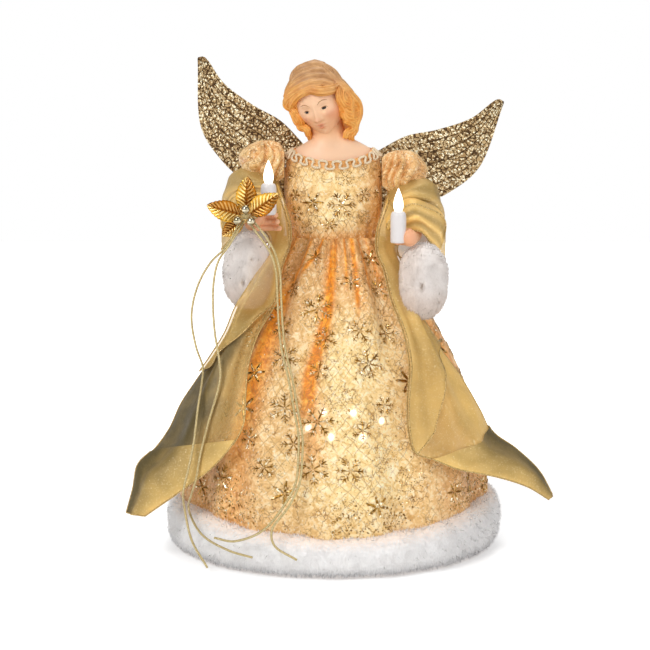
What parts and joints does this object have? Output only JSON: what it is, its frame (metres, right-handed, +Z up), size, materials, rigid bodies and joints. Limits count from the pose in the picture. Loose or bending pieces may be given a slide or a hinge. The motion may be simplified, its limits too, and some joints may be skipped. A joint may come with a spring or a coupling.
{
  "type": "angel tree topper",
  "caption": "Angel figure tree topper on a hollow cone, in a printed gown with fur hem, organza sleeves, turning wings and arms, and candles with pull-out bulbs.",
  "frame": {"origin": "on the cone's axis at the plane of its foot, where the tree tip enters", "axes": "+Z up along the cone's axis, -Y the way the figure faces, +X the figure's left"},
  "size_m": [0.3392, 0.2678, 0.4055],
  "materials": {
    "form_plastic": "moulded cream plastic and foam",
    "porcelain_skin": "painted moulded head and hands, satin",
    "dress_fabric": "cream satin with gold foil print",
    "organza": "sheer gold organza with glitter edge",
    "white_fur": "white plush fur trim",
    "gold_foil": "bright metallic gold",
    "antique_gold": "antique gold relief with dark crevices",
    "gold_cord": "gold metallic cord",
    "white_plastic": "white candle and socket plastic",
    "lamp_glass": "clear lamp glass",
    "steel_wire": "drawn wire",
    "lead_insulation": "white lead insulation"
  },
  "bodies": {
    "figure": {"cone_core": "form_plastic", "torso_form": "form_plastic", "head_and_shoulder_plate": "porcelain_skin", "bodice": "dress_fabric", "neckline_braid": "gold_cord", "skirt": "dress_fabric", "hem_fur": "white_fur", "light_socket_1": "white_plastic", "light_socket_2": "white_plastic", "light_socket_3": "white_plastic", "light_socket_4": "white_plastic", "light_socket_5": "white_plastic", "light_socket_6": "white_plastic", "light_lamp_1": "lamp_glass", "light_lamp_2": "lamp_glass", "light_lamp_3": "lamp_glass", "light_lamp_4": "lamp_glass", "light_lamp_5": "lamp_glass", "light_lamp_6": "lamp_glass", "light_string_lead": "lead_insulation"},
    "right_arm": {"right_arm_wire": "steel_wire", "right_puff_sleeve": "dress_fabric", "right_oversleeve": "organza", "right_fur_cuff": "white_fur", "right_hand": "porcelain_skin", "right_drape": "organza", "right_candle": "white_plastic", "leaf_upper": "gold_foil", "leaf_inner": "gold_foil", "leaf_outer": "gold_foil", "leaf_lower": "gold_foil", "berry_1": "gold_foil", "berry_2": "gold_foil", "berry_3": "gold_foil", "sprig_stem": "steel_wire", "gold_cord_outer": "gold_cord", "gold_cord_second": "gold_cord", "gold_cord_third": "gold_cord", "gold_cord_fourth": "gold_cord"},
    "left_arm": {"left_arm_wire": "steel_wire", "left_puff_sleeve": "dress_fabric", "left_oversleeve": "organza", "left_fur_cuff": "white_fur", "left_hand": "porcelain_skin", "left_drape": "organza", "left_candle": "white_plastic"},
    "right_bulb": {"right_candle_bulb": "lamp_glass"},
    "left_bulb": {"left_candle_bulb": "lamp_glass"},
    "right_wing_body": {"right_wing": "antique_gold", "right_wing_stalk": "steel_wire"},
    "left_wing_body": {"left_wing": "antique_gold", "left_wing_stalk": "steel_wire"}
  },
  "joints": [
    {"name": "right_arm_raise", "type": "hinge", "parent": "figure", "child": "right_arm", "pos_m": [-0.041, -0.002, 0.3143], "axis": [-1, 0, 0], "range_deg": [0, 20]},
    {"name": "left_arm_raise", "type": "hinge", "parent": "figure", "child": "left_arm", "pos_m": [0.041, -0.002, 0.3063], "axis": [-1, 0, 0], "range_deg": [0, 20]},
    {"name": "right_bulb_pull", "type": "slide", "parent": "right_arm", "child": "right_bulb", "axis": [0, 0, 1], "range_m": [0, 0.012]},
    {"name": "left_bulb_pull", "type": "slide", "parent": "left_arm", "child": "left_bulb", "axis": [0, 0, 1], "range_m": [0, 0.012]},
    {"name": "right_wing_turn", "type": "hinge", "parent": "figure", "child": "right_wing_body", "pos_m": [-0.013, 0.03278, 0.2883], "axis": [0, 1, 0], "range_deg": [-26, 6]},
    {"name": "left_wing_turn", "type": "hinge", "parent": "figure", "child": "left_wing_body", "pos_m": [0.013, 0.03278, 0.2883], "axis": [0, -1, 0], "range_deg": [-8, 24]}
  ]
}
